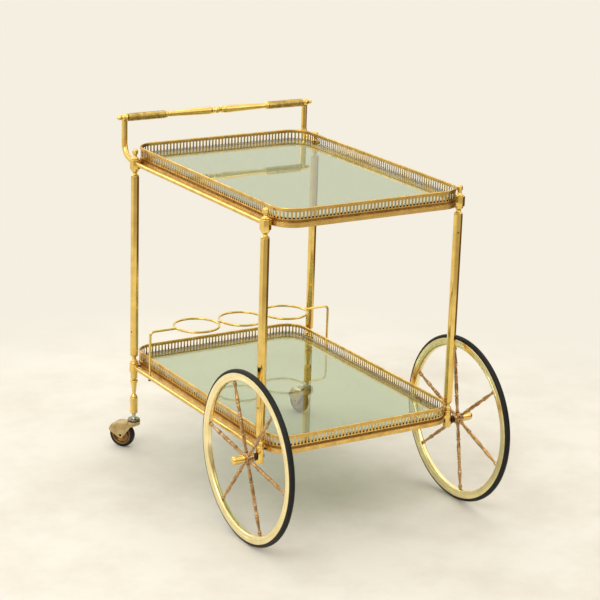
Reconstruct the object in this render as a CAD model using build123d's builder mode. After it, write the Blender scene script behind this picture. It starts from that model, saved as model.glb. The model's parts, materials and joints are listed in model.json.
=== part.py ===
from build123d import *
from math import acos, cos, degrees, hypot, radians, sin, sqrt, tan
import os

os.makedirs("parts", exist_ok=True)

# Brass bar cart in millimetres. +Z is up, the large wheels are at the front (-Y), the casters and
# the push handle are at the rear (+Y). The origin is on the floor below the middle of the cart.
sides = {"left": -1, "right": 1}

# Posts and their spacing
post_half_x = 211.0
post_half_y = 260.0
post_flats = 16.3
post_bore = 11.0
post_low = 206.0
post_high = 582.0
tie_rod_radius = 2.5

# Blocks that join the posts to the trays, the rails, the wheels and the handle
top_block_flats = 20.0
top_block_low = 597.5
top_block_high = 617.0
foot_block_flats = 19.0
foot_block_low = 168.0
foot_block_high = 186.0
foot_bottom = 78.0
axle_block_flats = 15.0
axle_block_low = 152.5

# Large wheels
wheel_radius = 166.0
wheel_plane_x = 237.0
rim_inner = 144.0
rim_outer = 159.5
rim_groove = 156.5
rim_half_width = 6.0
tyre_half_width = 5.0
axle_radius = 4.0
running_clearance = 0.08
hub_radius = 11.5
hub_near = 225.5
hub_far = 245.0
cap_radius = 8.3
cap_reach = 270.0
spoke_count = 6
spoke_turn = {"left": 22.0, "right": 9.0}

# Casters, each trailing in its own direction, in degrees from +X
caster_turn = {"left": 128.0, "right": 97.0}
caster_radius = 27.0
caster_trail = 26.0
hood_radius = 30.0
hood_wall = 1.2
hood_bevel = 3.4
hood_inner_bevel = hood_bevel - hood_wall * (2 - sqrt(2))
hood_end = 18.0
fork_half_width = 11.0
stem_radius = 4.0
stem_top = 98.0
lower_cup = (53.5, 60.5)
upper_cup = (61.5, 66.5)
cup_radius = 13.5
pin_radius = 2.7

# Trays
tray_half_x = 199.5
tray_half_y = 298.0
tray_corner = 45.0
tray_height = 34.0
tray_levels = {"upper": 605.5, "lower": 176.5}
gallery_inset = 1.6
gallery_wall = 1.2
ledge_height = 12.0
slot_pitch = 15.0
slot_width = 8.0
slot_low = 14.3
slot_height = 14.7
glass_thick = 4.0
glass_inset = 3.9
screw_rise = 2.3
screw_radius = 2.2
screw_seat = 3.0

# Side rails
rail_radius = 4.5
rail_levels = {"upper": 608.0, "lower": 178.0}
rail_seat = 5.0

# Push handle
handle_setback = 48.0
handle_z = 692.0
upright_radius = 6.0
upright_bend = 28.0
upright_slope = 15.0
grip_radius = 8.1
grip_near = 121.0
grip_far = 203.5
collar_radius = 8.0
collar_half = 7.0
tenon_radius = 3.0
tenon_reach = 221.0

# Bottle rack
rack_setback = 187.5
rack_z = 274.5
wire_radius = 2.5
ring_radius = 46.5
ring_spacing = 105.0
rack_bend = 9.0
rack_pin_radius = 1.8

# Where the wheels and the rearmost caster reach, and so where the tray's middle lies
rear_turn = radians(caster_turn["right"])
hood_tail = caster_trail + hood_radius * cos(radians(hood_end))
front_reach = post_half_y + wheel_radius
tail_half_width = fork_half_width - hood_bevel
rear_reach = post_half_y + hood_tail * sin(rear_turn) + tail_half_width * abs(cos(rear_turn))
tray_y = (front_reach - rear_reach) / 2
ends = {"front": tray_y - post_half_y, "rear": tray_y + post_half_y}
handle_y = ends["rear"] + handle_setback
rack_y = tray_y + rack_setback


def save(piece, name):
    piece.part.label = name
    export_step(piece.part, f"parts/{name}.step")


def upright_plane(x, y):
    return Plane(origin=(x, y, 0), x_dir=(1, 0, 0), z_dir=(0, -1, 0))


def crosswise_plane(y, z, side):
    return Plane(origin=(0, y, z), x_dir=(0, 0, 1), z_dir=(0, side, 0))


def outline(plane, stations, bore):
    # Half section of a turned piece through stations of (radius, height), closed along the bore,
    # or onto its own first station where there is no bore
    corners = list(stations)
    if bore is not None:
        corners += [(bore, stations[-1][1]), (bore, stations[0][1])]
    with BuildSketch(plane) as half:
        with BuildLine():
            Polyline(*corners, close=True)
        make_face()
    return half.sketch


def turned(plane, stations, bore=0.0, mode=Mode.ADD):
    revolve(outline(plane, stations, bore), axis=Axis(plane.origin, plane.y_dir), mode=mode)


def faceted(axis_plane, stations, sides=12):
    # A slender turned piece drawn with flats: regular polygons of (radius, distance) along the
    # plane's normal, joined by straight bands
    with BuildPart() as piece:
        for radius, distance in stations:
            with BuildSketch(axis_plane.offset(distance)):
                RegularPolygon(radius, sides, rotation=180 / sides)
        loft(ruled=True)
    return piece.part


def standing(x, y):
    return Plane(origin=(x, y, 0), x_dir=(1, 0, 0), z_dir=(0, 0, 1))


def lying(y, z, side):
    return Plane(origin=(0, y, z), x_dir=(0, 0, 1), z_dir=(side, 0, 0))


def octagon(x, y, low, flats):
    # Corners point along X and Y
    with BuildSketch(Plane.XY.offset(low)) as face:
        with Locations((x, y)):
            RegularPolygon(flats / 2, 8, major_radius=False)
    return face.sketch


def tray_ring(level, outer_inset, inner_inset):
    with BuildSketch(Plane.XY.offset(level)) as ring:
        with Locations((0, tray_y)):
            for inset, mode in ((outer_inset, Mode.ADD), (inner_inset, Mode.SUBTRACT)):
                width = 2 * (tray_half_x - inset)
                length = 2 * (tray_half_y - inset)
                RectangleRounded(width, length, tray_corner - inset, mode=mode)
    return ring.sketch


# Side rails: round rods between the front and rear blocks
rails = {}
rail_reach = {"upper": top_block_flats / 2, "lower": axle_block_flats / 2}
for level, rail_z in rail_levels.items():
    for side, sign in sides.items():
        near = ends["front"] + rail_reach[level] - rail_seat
        far = ends["rear"] - (top_block_flats if level == "upper" else foot_block_flats) / 2
        with BuildPart() as rail:
            with BuildSketch(Plane(origin=(sign * post_half_x, near, rail_z), z_dir=(0, 1, 0))):
                Circle(rail_radius)
            extrude(amount=far + rail_seat - near)
            if level == "lower":
                turned(upright_plane(sign * post_half_x, rack_y),
                       [(rack_pin_radius, rail_z - 8), (rack_pin_radius, rail_z + 8)],
                       mode=Mode.SUBTRACT)
        rails[level, side] = rail
        save(rail, f"{level}_{side}_rail")

# Tie rods: steel rods that clamp finial, block, post and foot together
rod_low = {"front": 173.0, "rear": 172.0}
rod_high = 624.0
with BuildPart() as tie_rods:
    for end, y in ends.items():
        for sign in sides.values():
            rod = [(tie_rod_radius, rod_low[end]), (tie_rod_radius, rod_high)]
            add(faceted(standing(sign * post_half_x, y), rod, 8))
save(tie_rods, "tie_rods")

# Tray screws: shouldered screws that hold each tray off its blocks and are seated in them
screw_reach = {"upper": {"front": top_block_flats / 2, "rear": top_block_flats / 2},
               "lower": {"front": axle_block_flats / 2, "rear": foot_block_flats / 2}}
with BuildPart() as tray_screws:
    for level, z in tray_levels.items():
        for end, y in ends.items():
            seat = post_half_x - screw_reach[level][end] + screw_seat
            for sign in sides.values():
                screw = [(screw_radius, tray_half_x - 3.6), (screw_radius, seat)]
                add(faceted(lying(y, z + screw_rise, sign), screw, 8))
save(tray_screws, "tray_screws")

# Posts: octagonal tubes
for end, y in ends.items():
    for side, sign in sides.items():
        with BuildPart() as post:
            extrude(octagon(sign * post_half_x, y, post_low, post_flats), amount=post_high - post_low)
            turned(upright_plane(sign * post_half_x, y),
                   [(post_bore / 2, post_low), (post_bore / 2, post_high)], mode=Mode.SUBTRACT)
        save(post, f"{end}_{side}_post")

# Handle uprights: rods that leave the rear blocks at a shallow slope and bend upright
uprights = {}
slope = radians(upright_slope)
arm_start = (ends["rear"] + top_block_flats / 2 - 5, rail_levels["upper"])
bend_start_y = handle_y - upright_bend * (1 - sin(slope))
bend_start = (bend_start_y, arm_start[1] + (bend_start_y - arm_start[0]) * tan(slope))
bend_centre = (handle_y - upright_bend, bend_start[1] + upright_bend * cos(slope))
bend_middle_angle = radians((upright_slope - 90) / 2)
bend_middle = (bend_centre[0] + upright_bend * cos(bend_middle_angle),
               bend_centre[1] + upright_bend * sin(bend_middle_angle))
bend_end = (handle_y, bend_centre[1])
upright_top = handle_z - collar_radius + 2.0
for side, sign in sides.items():
    side_plane = Plane(origin=(sign * post_half_x, 0, 0), x_dir=(0, 1, 0), z_dir=(1, 0, 0))
    with BuildPart() as upright:
        with BuildLine(side_plane) as route:
            Line(arm_start, bend_start)
            ThreePointArc(bend_start, bend_middle, bend_end)
            Line(bend_end, (handle_y, upright_top))
        with BuildSketch(Plane(origin=route.line @ 0, z_dir=route.line % 0)):
            Circle(upright_radius)
        sweep()
    uprights[side] = upright
    save(upright, f"{side}_handle_upright")

# Top blocks: an octagonal head over a stepped neck that seats on the post
top_neck = [(8.0, post_high), (8.0, post_high + 1.4), (4.3, post_high + 5.2), (4.3, post_high + 6.6),
            (6.2, post_high + 10.5), (7.8, post_high + 11.5), (8.8, top_block_low), (8.8, top_block_low + 2)]
for end, y in ends.items():
    for side, sign in sides.items():
        x = sign * post_half_x
        with BuildPart() as block:
            extrude(octagon(x, y, top_block_low, top_block_flats), amount=top_block_high - top_block_low)
            chamfer(block.edges().group_by(Axis.Z)[-1], 1.0)
            chamfer(block.edges().group_by(Axis.Z)[0], 1.0)
            add(faceted(standing(x, y), top_neck))
            add(rails["upper", side].part, mode=Mode.SUBTRACT)
            add(tie_rods.part, mode=Mode.SUBTRACT)
            add(tray_screws.part, mode=Mode.SUBTRACT)
            if end == "rear":
                add(uprights[side].part, mode=Mode.SUBTRACT)
        save(block, f"{end}_{side}_top_block")

# Finials: a flared foot, a waist and a round knob, one on each post
finial = [(7.8, 0), (7.8, 1.6), (4.7, 5.4), (3.7, 7.4), (3.7, 8.6), (5.6, 11.0), (6.0, 12.6),
          (6.0, 16.6), (5.2, 18.8), (2.4, 21.0)]
with BuildPart() as finials:
    for y in ends.values():
        for sign in sides.values():
            seat = standing(sign * post_half_x, y).offset(top_block_high)
            add(faceted(seat, finial, 8))
    add(tie_rods.part, mode=Mode.SUBTRACT)
save(finials, "finials")

# Axles: steel bolts through the front blocks, with a dark collar that spaces the wheel off
axle_face = post_half_x + axle_block_flats / 2
collar_end = hub_near - 0.4
axles = {}
for side, sign in sides.items():
    with BuildPart() as axle:
        turned(crosswise_plane(ends["front"], wheel_radius, sign),
               [(axle_radius, post_half_x - axle_block_flats / 2 - 1), (axle_radius, axle_face),
                (6.8, axle_face), (6.8, collar_end), (axle_radius, collar_end),
                (axle_radius, cap_reach - 6)])
    axles[side] = axle
    save(axle, f"{side}_axle")

# Axle blocks: the front posts' lower ends, on the same necks, bored across for the axles
axle_neck = [(7.4, foot_block_high - 2), (7.4, foot_block_high), (6.6, 190.0), (7.2, 191.4), (7.2, 193.6),
             (4.4, 195.4), (4.2, 198.6), (5.4, 201.6), (8.0, 204.6), (8.0, post_low)]
for side, sign in sides.items():
    x, y = sign * post_half_x, ends["front"]
    with BuildPart() as block:
        extrude(octagon(x, y, axle_block_low, axle_block_flats), amount=foot_block_high - axle_block_low)
        chamfer(block.edges().group_by(Axis.Z)[0], 0.8)
        add(faceted(standing(x, y), axle_neck))
        for piece in (rails["lower", side], tie_rods, tray_screws, axles[side]):
            add(piece.part, mode=Mode.SUBTRACT)
    save(block, f"{side}_axle_block")

# Feet: the rear posts' turned lower ends, octagonal at the rail and bored for the caster stem
foot_neck = [(7.9, foot_block_high - 2), (7.9, foot_block_high), (7.8, 189.0), (7.4, 191.4), (7.4, 193.0),
             (4.4, 195.0), (4.2, 198.6), (5.4, 201.6), (8.0, 204.6), (8.0, post_low)]
foot_turning = [(8.1, foot_bottom), (8.1, 109.5), (7.3, 113.5), (5.6, 117.5), (3.7, 120.0), (3.7, 121.5),
                (7.0, 144.2), (8.0, 145.6), (8.0, 150.6), (5.7, 152.0), (5.7, 154.0), (7.2, 155.0),
                (7.2, 165.5), (7.9, foot_block_low), (7.9, foot_block_low + 2)]
for side, sign in sides.items():
    x, y = sign * post_half_x, ends["rear"]
    with BuildPart() as foot:
        extrude(octagon(x, y, foot_block_low, foot_block_flats), amount=foot_block_high - foot_block_low)
        chamfer(foot.edges().group_by(Axis.Z)[-1], 1.5)
        chamfer(foot.edges().group_by(Axis.Z)[0], 1.5)
        add(faceted(standing(x, y), foot_neck))
        add(faceted(standing(x, y), foot_turning))
        stem_bore = [(stem_radius, foot_bottom), (stem_radius, stem_top)]
        turned(upright_plane(x, y), stem_bore, mode=Mode.SUBTRACT)
        for piece in (rails["lower", side], tie_rods, tray_screws):
            add(piece.part, mode=Mode.SUBTRACT)
    save(foot, f"{side}_foot")


def slot_places():
    # Middle of every slot with the direction that it faces: along the four sides, then the corners
    half_x, half_y = tray_half_x - gallery_inset, tray_half_y - gallery_inset
    corner = tray_corner - gallery_inset
    places = []
    for reach, length, turn in ((half_y, half_x - corner, 90), (half_x, half_y - corner, 0)):
        count = int(2 * length / slot_pitch)
        for step in range(count):
            along = (step - (count - 1) / 2) * slot_pitch
            for sign in (-1, 1):
                spot = (along, sign * reach) if turn else (sign * reach, along)
                places.append((*spot, turn))
    corner_count = round(corner * radians(90) / slot_pitch)
    for quarter in range(4):
        centre_x = (half_x - corner) * (1 if quarter in (0, 3) else -1)
        centre_y = (half_y - corner) * (1 if quarter in (0, 1) else -1)
        for step in range(corner_count):
            turn = 90 * quarter + (step + 0.5) * 90 / corner_count
            across, along = corner * cos(radians(turn)), corner * sin(radians(turn))
            places.append((centre_x + across, centre_y + along, turn))
    return places


# Trays: a stepped frame with a ledge, a pierced gallery that stands in it, and a loose glass pane
gallery_inner = gallery_inset + gallery_wall
for level, z in tray_levels.items():
    with BuildPart() as tray_frame:
        extrude(tray_ring(z, 0, gallery_inset), amount=5.5)
        extrude(tray_ring(z + 5.5, 0.8, gallery_inset), amount=ledge_height - 5.5)
        extrude(tray_ring(z + ledge_height - 1.2, 0.8, 13.0), amount=1.2)
        add(tray_screws.part, mode=Mode.SUBTRACT)
    save(tray_frame, f"{level}_tray_frame")

    with BuildPart() as gallery:
        extrude(tray_ring(z + ledge_height, gallery_inset, gallery_inner), amount=tray_height - ledge_height)
        extrude(tray_ring(z + tray_height - 4.0, 0.6, gallery_inner + 1.0), amount=4.0)
        slot_z = z + slot_low + slot_height / 2
        slots = [Location((x, tray_y + y, slot_z), (0, 0, turn)) for x, y, turn in slot_places()]
        with Locations(*slots):
            Box(4 * gallery_wall, slot_width, slot_height, mode=Mode.SUBTRACT)
    save(gallery, f"{level}_gallery")

    with BuildPart() as glass:
        with BuildSketch(Plane.XY.offset(z + ledge_height)):
            with Locations((0, tray_y)):
                RectangleRounded(2 * (tray_half_x - glass_inset), 2 * (tray_half_y - glass_inset),
                                 tray_corner - glass_inset)
        extrude(amount=glass_thick)
    save(glass, f"{level}_glass")

# Handle spindle: a turned bar, swelling to two bulbs beside a centre bead, with long tenons
bar_plane = crosswise_plane(handle_y, handle_z, 1)
half_spindle = [(7.2, 1.8), (6.1, 4.6), (4.3, 6.4), (4.3, 8.0), (7.0, 9.2), (7.0, 11.4), (5.8, 12.6),
                (7.9, 17.0), (7.9, 25.0), (5.7, 112.0), (5.7, grip_near - 5.5), (8.0, grip_near - 4.0),
                (8.0, grip_near)]
with BuildPart() as spindle:
    mirrored = [(radius, -reach) for radius, reach in reversed(half_spindle)]
    add(faceted(lying(handle_y, handle_z, 1), mirrored + half_spindle))
    turned(bar_plane, [(tenon_radius, -tenon_reach), (tenon_radius, tenon_reach)])
save(spindle, "handle_spindle")

# Handle collars: barrel-shaped balls on the uprights that carry the bar
for side, sign in sides.items():
    with BuildPart() as collar:
        barrel = [(5.2, -collar_half), (7.2, -4.6), (collar_radius, -1.8), (collar_radius, 1.8), (7.2, 4.6),
                  (5.2, collar_half)]
        add(faceted(lying(handle_y, handle_z, sign).offset(post_half_x), barrel))
        for piece in (uprights[side], spindle):
            add(piece.part, mode=Mode.SUBTRACT)
    save(collar, f"{side}_handle_collar")

# Grips: knurled sleeves, and the buttons that close the bar's ends
for side, sign in sides.items():
    with BuildPart() as grip:
        turned(crosswise_plane(handle_y, handle_z, sign),
               [(grip_radius, grip_near), (grip_radius, grip_far)], bore=tenon_radius)
    save(grip, f"{side}_grip")

with BuildPart() as end_buttons:
    for sign in sides.values():
        button = [(4.0, post_half_x + collar_half), (3.2, 219.4), (4.7, 221.0), (4.7, 224.6), (2.8, 227.0)]
        add(faceted(lying(handle_y, handle_z, sign), button))
    add(spindle.part, mode=Mode.SUBTRACT)
save(end_buttons, "handle_end_buttons")

# Bottle rack: three wire rings in a row, carried by two bent wire arms that stand on the rails
rings = {}
for name, x in (("left", -ring_spacing), ("middle", 0.0), ("right", ring_spacing)):
    with BuildPart() as ring:
        with BuildSketch(Plane(origin=(x + ring_radius, rack_y, rack_z), z_dir=(0, 1, 0))):
            RegularPolygon(wire_radius, 8, rotation=22.5)
        revolve(axis=Axis((x, rack_y, rack_z), (0, 0, 1)))
    rings[name] = ring
with BuildPart() as links:
    for sign in sides.values():
        link = [(wire_radius, ring_radius), (wire_radius, ring_spacing - ring_radius)]
        add(faceted(lying(rack_y, rack_z, sign), link, 8))
    for ring in rings.values():
        add(ring.part, mode=Mode.SUBTRACT)
with BuildPart() as middle_ring:
    add(rings["middle"].part)
    add(links.part)
save(rings["left"], "left_bottle_ring")
save(middle_ring, "middle_bottle_ring")
save(rings["right"], "right_bottle_ring")

rail_top = rail_levels["lower"] + rail_radius
for side, sign in sides.items():
    arm_plane = Plane(origin=(0, rack_y, 0), x_dir=(sign, 0, 0), z_dir=(0, -sign, 0))
    bend = rack_bend * (1 - cos(radians(45)))
    with BuildPart() as arm:
        with BuildLine(arm_plane) as route:
            Line((post_half_x, rail_top - 0.6), (post_half_x, rack_z - rack_bend))
            ThreePointArc((post_half_x, rack_z - rack_bend), (post_half_x - bend, rack_z - bend),
                          (post_half_x - rack_bend, rack_z))
            Line((post_half_x - rack_bend, rack_z), (ring_spacing + ring_radius, rack_z))
        with BuildSketch(Plane(origin=route.line @ 0, x_dir=(1, 0, 0), z_dir=route.line % 0)):
            RegularPolygon(wire_radius, 8, rotation=22.5)
        sweep()
        turned(upright_plane(sign * post_half_x, rack_y),
               [(rack_pin_radius, rail_levels["lower"] - 8.5), (rack_pin_radius, rail_top + 1)])
        add(rings[side].part, mode=Mode.SUBTRACT)
        add(rails["lower", side].part, mode=Mode.SUBTRACT)
    save(arm, f"{side}_rack_arm")

with BuildPart() as rack_nuts:
    for sign in sides.values():
        with BuildSketch(Plane.XY.offset(rail_levels["lower"] - rail_radius - 2.6)):
            with Locations((sign * post_half_x, rack_y)):
                RegularPolygon(3.2, 6, major_radius=False)
                Circle(rack_pin_radius, mode=Mode.SUBTRACT)
        extrude(amount=2.6)
    for side in sides:
        add(rails["lower", side].part, mode=Mode.SUBTRACT)
save(rack_nuts, "rack_nuts")

# Spoke turning, from the hub out to the rim: ring, taper, bead, barrel, three beads, barrel, bead,
# cone and a knob under the rim, with a tenon at each end
spoke_turning = [(2.6, 8.4), (3.5, 13.0), (3.5, 17.0), (2.7, 19.5), (3.4, 40.5), (4.3, 43.0), (4.3, 45.0),
                 (3.2, 48.0), (3.8, 60.0), (3.2, 71.5), (4.2, 74.0), (3.2, 76.5), (4.2, 79.0), (3.2, 81.5),
                 (4.2, 84.0), (3.2, 86.5), (3.2, 101.5), (4.2, 104.5), (3.9, 110.0), (2.2, 133.5),
                 (3.7, 137.0), (3.7, 141.5), (2.2, rim_inner + 2.5)]

# Large wheels: hub, turned spokes, grooved rim and rubber tyre
for side, sign in sides.items():
    wheel_plane = crosswise_plane(ends["front"], wheel_radius, sign)
    centre = (sign * wheel_plane_x, ends["front"], wheel_radius)
    with BuildPart() as spokes:
        for number in range(spoke_count):
            turn = radians(spoke_turn[side] + number * 360 / spoke_count)
            spoke_plane = Plane(origin=centre, x_dir=(1, 0, 0), z_dir=(0, sin(turn), cos(turn)))
            add(faceted(spoke_plane, spoke_turning, 8))
    save(spokes, f"{side}_spokes")

    with BuildPart() as hub:
        barrel_near, barrel_far = wheel_plane_x - 5.4, wheel_plane_x + 5.4
        turned(wheel_plane, [(7.5, hub_near), (7.5, barrel_near), (hub_radius, barrel_near),
                             (hub_radius, barrel_far), (8.6, barrel_far), (8.6, hub_far)],
               bore=axle_radius + running_clearance)
        add(spokes.part, mode=Mode.SUBTRACT)
    save(hub, f"{side}_hub")

    groove_low, groove_high = wheel_plane_x - tyre_half_width, wheel_plane_x + tyre_half_width
    side_low, side_high = wheel_plane_x - rim_half_width, wheel_plane_x + rim_half_width
    with BuildPart() as rim:
        turned(wheel_plane, [(rim_inner + 3.0, side_low), (rim_outer, side_low), (rim_outer, groove_low),
                             (rim_groove, groove_low), (rim_groove, groove_high), (rim_outer, groove_high),
                             (rim_outer, side_high), (rim_inner + 3.0, side_high),
                             (rim_inner, side_high - 2.4), (rim_inner, side_low + 2.4)],
               bore=None)
        add(spokes.part, mode=Mode.SUBTRACT)
    save(rim, f"{side}_rim")

    with BuildPart() as tyre:
        turned(wheel_plane, [(wheel_radius - 2.4, groove_low), (wheel_radius - 0.6, groove_low + 2.2),
                             (wheel_radius, wheel_plane_x - 1.2), (wheel_radius, wheel_plane_x + 1.2),
                             (wheel_radius - 0.6, groove_high - 2.2), (wheel_radius - 2.4, groove_high)],
               bore=rim_groove)
    save(tyre, f"{side}_tyre")

    with BuildPart() as cap:
        sleeve = [(cap_radius - 0.5, hub_far + 0.4), (cap_radius, hub_far + 1.4),
                  (cap_radius, cap_reach - 5.5), (cap_radius - 1.6, cap_reach - 1.8), (3.2, cap_reach)]
        add(faceted(lying(ends["front"], wheel_radius, sign), sleeve))
        add(axles[side].part, mode=Mode.SUBTRACT)
    save(cap, f"{side}_hub_cap")

# Caster stems: zinc rods pressed into the feet, each riveted through its upper bearing cup
with BuildPart() as stems:
    for sign in sides.values():
        low, high = upper_cup
        rivet_top = lower_cup[0] + 0.7
        turned(upright_plane(sign * post_half_x, ends["rear"]),
               [(6.0, 51.5), (6.0, rivet_top), (stem_radius, rivet_top), (stem_radius, low),
                (cup_radius - 0.6, low), (cup_radius - 0.6, high - 1.6), (cup_radius - 2.6, high),
                (stem_radius, high), (stem_radius, stem_top)])
save(stems, "caster_stems")


def fork_outline(plane):
    # Side plate: flat top behind the swivel, round hood, straight edges down to the axle boss
    boss = 6.5
    axle_x, axle_z = caster_trail, caster_radius
    tail = (axle_x + hood_radius * cos(radians(hood_end)), axle_z + hood_radius * sin(radians(hood_end)))
    throat = (3.0, 48.0)
    throat_turn = degrees(acos((throat[0] - axle_x) / hypot(throat[0] - axle_x, throat[1] - axle_z)))
    rear_tangent = hood_end - degrees(acos(boss / hood_radius))
    front_tangent = throat_turn + degrees(acos(boss / hypot(throat[0] - axle_x, throat[1] - axle_z))) - 360
    with BuildSketch(plane) as plate:
        with BuildLine():
            hood = CenterArc((axle_x, axle_z), hood_radius, hood_end, 90 - hood_end)
            pad = CenterArc((axle_x, axle_z), boss, front_tangent, rear_tangent - front_tangent)
            Line(tail, pad @ 1)
            Line(pad @ 0, throat)
            Polyline(throat, (-9.0, 52.0), (-9.0, axle_z + hood_radius), hood @ 1)
        make_face()
    return plate.sketch


# Casters: hooded fork on the swivel cup, axle pin, dished wheel and tyre
for side, sign in sides.items():
    turn = radians(caster_turn[side])
    trail, across = (cos(turn), sin(turn), 0), (-sin(turn), cos(turn), 0)
    stem_x, stem_y = sign * post_half_x, ends["rear"]
    fork_plane = Plane(origin=(stem_x, stem_y, 0), x_dir=trail, z_dir=(sin(turn), -cos(turn), 0))
    axle_centre = (stem_x + caster_trail * trail[0], stem_y + caster_trail * trail[1], caster_radius)
    roll_plane = Plane(origin=axle_centre, x_dir=(0, 0, 1), z_dir=(-across[1], across[0], 0))

    with BuildPart() as pin:
        turned(roll_plane, [(pin_radius, -fork_half_width - 0.6), (pin_radius, fork_half_width + 0.6)])
    save(pin, f"{side}_caster_pin")

    with BuildPart() as fork:
        extrude(fork_outline(fork_plane), amount=fork_half_width, both=True)
        hood = fork.faces().filter_by(GeomType.CYLINDER).sort_by(SortBy.AREA)[-1]
        chamfer(hood.edges().filter_by(GeomType.CIRCLE), hood_bevel)
        swivel = upright_plane(stem_x, stem_y)
        turned(swivel, [(cup_radius - 1.5, lower_cup[0] - 1.5), (cup_radius, lower_cup[0]),
                        (cup_radius, lower_cup[1]), (8.0, lower_cup[1]), (8.0, upper_cup[0] - 0.4)])
        reach, half = hood_radius - hood_wall, fork_half_width - hood_wall
        hollow = [(reach - hood_inner_bevel, half), (reach, half - hood_inner_bevel)]
        turned(roll_plane, [(r, -x) for r, x in hollow] + hollow[::-1], mode=Mode.SUBTRACT)
        bore = stem_radius + running_clearance
        turned(swivel, [(6.6, 30.0), (6.6, lower_cup[0] + 1.0), (bore, lower_cup[0] + 1.0), (bore, 64.0)],
               mode=Mode.SUBTRACT)
        turned(roll_plane, [(pin_radius, -20.0), (pin_radius, 20.0)], mode=Mode.SUBTRACT)
    save(fork, f"{side}_caster_fork")

    with BuildPart() as disc:
        turned(roll_plane, [(6.0, -9.2), (6.0, -2.5), (15.5, -2.5), (17.5, -6.5), (20.5, -6.5), (20.5, 6.5),
                            (17.5, 6.5), (15.5, 2.5), (6.0, 2.5), (6.0, 9.2)],
               bore=pin_radius + running_clearance)
    save(disc, f"{side}_caster_wheel")

    with BuildPart() as tread:
        shoulder = [(24.8, -7.0), (caster_radius, -4.0), (caster_radius, 4.0), (24.8, 7.0)]
        turned(roll_plane, shoulder, bore=20.5)
    save(tread, f"{side}_caster_tyre")
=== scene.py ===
import bpy
import json
from math import atan2, cos, degrees, pi, radians, sin
from mathutils import Matrix, Vector


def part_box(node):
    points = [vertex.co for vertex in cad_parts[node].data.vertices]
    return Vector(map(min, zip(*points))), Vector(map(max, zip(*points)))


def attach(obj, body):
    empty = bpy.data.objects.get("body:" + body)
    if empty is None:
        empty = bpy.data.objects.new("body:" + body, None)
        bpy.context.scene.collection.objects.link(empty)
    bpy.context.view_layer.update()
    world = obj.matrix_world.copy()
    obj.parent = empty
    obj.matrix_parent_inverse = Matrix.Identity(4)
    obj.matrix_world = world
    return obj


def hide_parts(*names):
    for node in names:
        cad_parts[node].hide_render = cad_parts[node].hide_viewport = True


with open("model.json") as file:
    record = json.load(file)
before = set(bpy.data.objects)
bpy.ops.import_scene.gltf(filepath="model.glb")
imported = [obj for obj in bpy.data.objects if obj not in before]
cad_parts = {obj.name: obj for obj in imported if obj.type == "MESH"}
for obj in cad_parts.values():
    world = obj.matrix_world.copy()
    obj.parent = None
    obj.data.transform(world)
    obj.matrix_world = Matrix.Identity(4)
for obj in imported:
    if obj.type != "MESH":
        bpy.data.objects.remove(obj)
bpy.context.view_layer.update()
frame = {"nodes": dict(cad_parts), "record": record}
jointAt = {joint["name"]: joint for joint in frame["record"]["behaviour"]["joints"]}
print("frame loaded:", len(frame["nodes"]), "parts")


# Places and shaping. Sizes are written in mm

def mm(value):
    return value / 1000


def middle(node):
    low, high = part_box(node)
    return (low + high) / 2


def deselect():
    if bpy.context.mode != "OBJECT":
        bpy.ops.object.mode_set(mode="OBJECT")
    bpy.ops.object.select_all(action="DESELECT")


def choose(piece):
    deselect()
    piece.select_set(True)
    bpy.context.view_layer.objects.active = piece


def settle(piece):  # its place goes into its mesh
    choose(piece)
    bpy.ops.object.transform_apply(location=True, rotation=True, scale=True)
    return piece


def applyAll(piece):
    choose(piece)
    for modifier in list(piece.modifiers):
        bpy.ops.object.modifier_apply(modifier=modifier.name)
    return piece


def closeUp(piece, gap=0.001):  # merges points up to gap apart and turns the faces outwards
    choose(piece)
    bpy.ops.object.mode_set(mode="EDIT")
    bpy.ops.mesh.select_all(action="SELECT")
    bpy.ops.mesh.remove_doubles(threshold=mm(gap))
    bpy.ops.mesh.normals_make_consistent(inside=False)
    bpy.ops.object.mode_set(mode="OBJECT")
    return piece


def soften(piece, angle=35):
    choose(piece)
    bpy.ops.object.shade_smooth_by_angle(angle=radians(angle))
    return piece


def pick(piece, test):  # selects the points that pass the test, and the edges and faces between them
    points = piece.data.vertices
    for point in points:
        point.select = test(point.co)
    for span in (*piece.data.edges, *piece.data.polygons):
        span.select = all(points[index].select for index in span.vertices)


def copyOf(piece, name):
    twin = piece.copy()
    twin.data = piece.data.copy()
    twin.name = name
    bpy.context.collection.objects.link(twin)
    return twin


def place(piece, where, along=(0, 0, 1)):  # stands the piece's own z axis along a direction
    aim = Vector(along).to_track_quat("Z", "Y").to_matrix().to_4x4()
    piece.matrix_world = Matrix.Translation(where) @ aim
    return settle(piece)


def joinAll(pieces, name):
    choose(pieces[0])
    for piece in pieces[1:]:
        piece.select_set(True)
    bpy.ops.object.join()
    whole = bpy.context.object
    whole.name = name
    return whole


def discard(*pieces):
    for piece in pieces:
        bpy.data.objects.remove(piece)


def curved(points, steps=6):
    # (radius, height) gives a straight run, (radius, height, bulge) a bead, or a cove if negative
    path = [points[0][:2]]
    for last, point in zip(points, points[1:]):
        if len(point) == 2:
            path.append(point)
            continue
        for step in range(1, steps + 1):
            angle = pi * step / steps
            part = (1 - cos(angle)) / 2
            radius = last[0] + (point[0] - last[0]) * part + point[2] * sin(angle)
            path.append((radius, last[1] + (point[1] - last[1]) * part))
    return path


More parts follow.
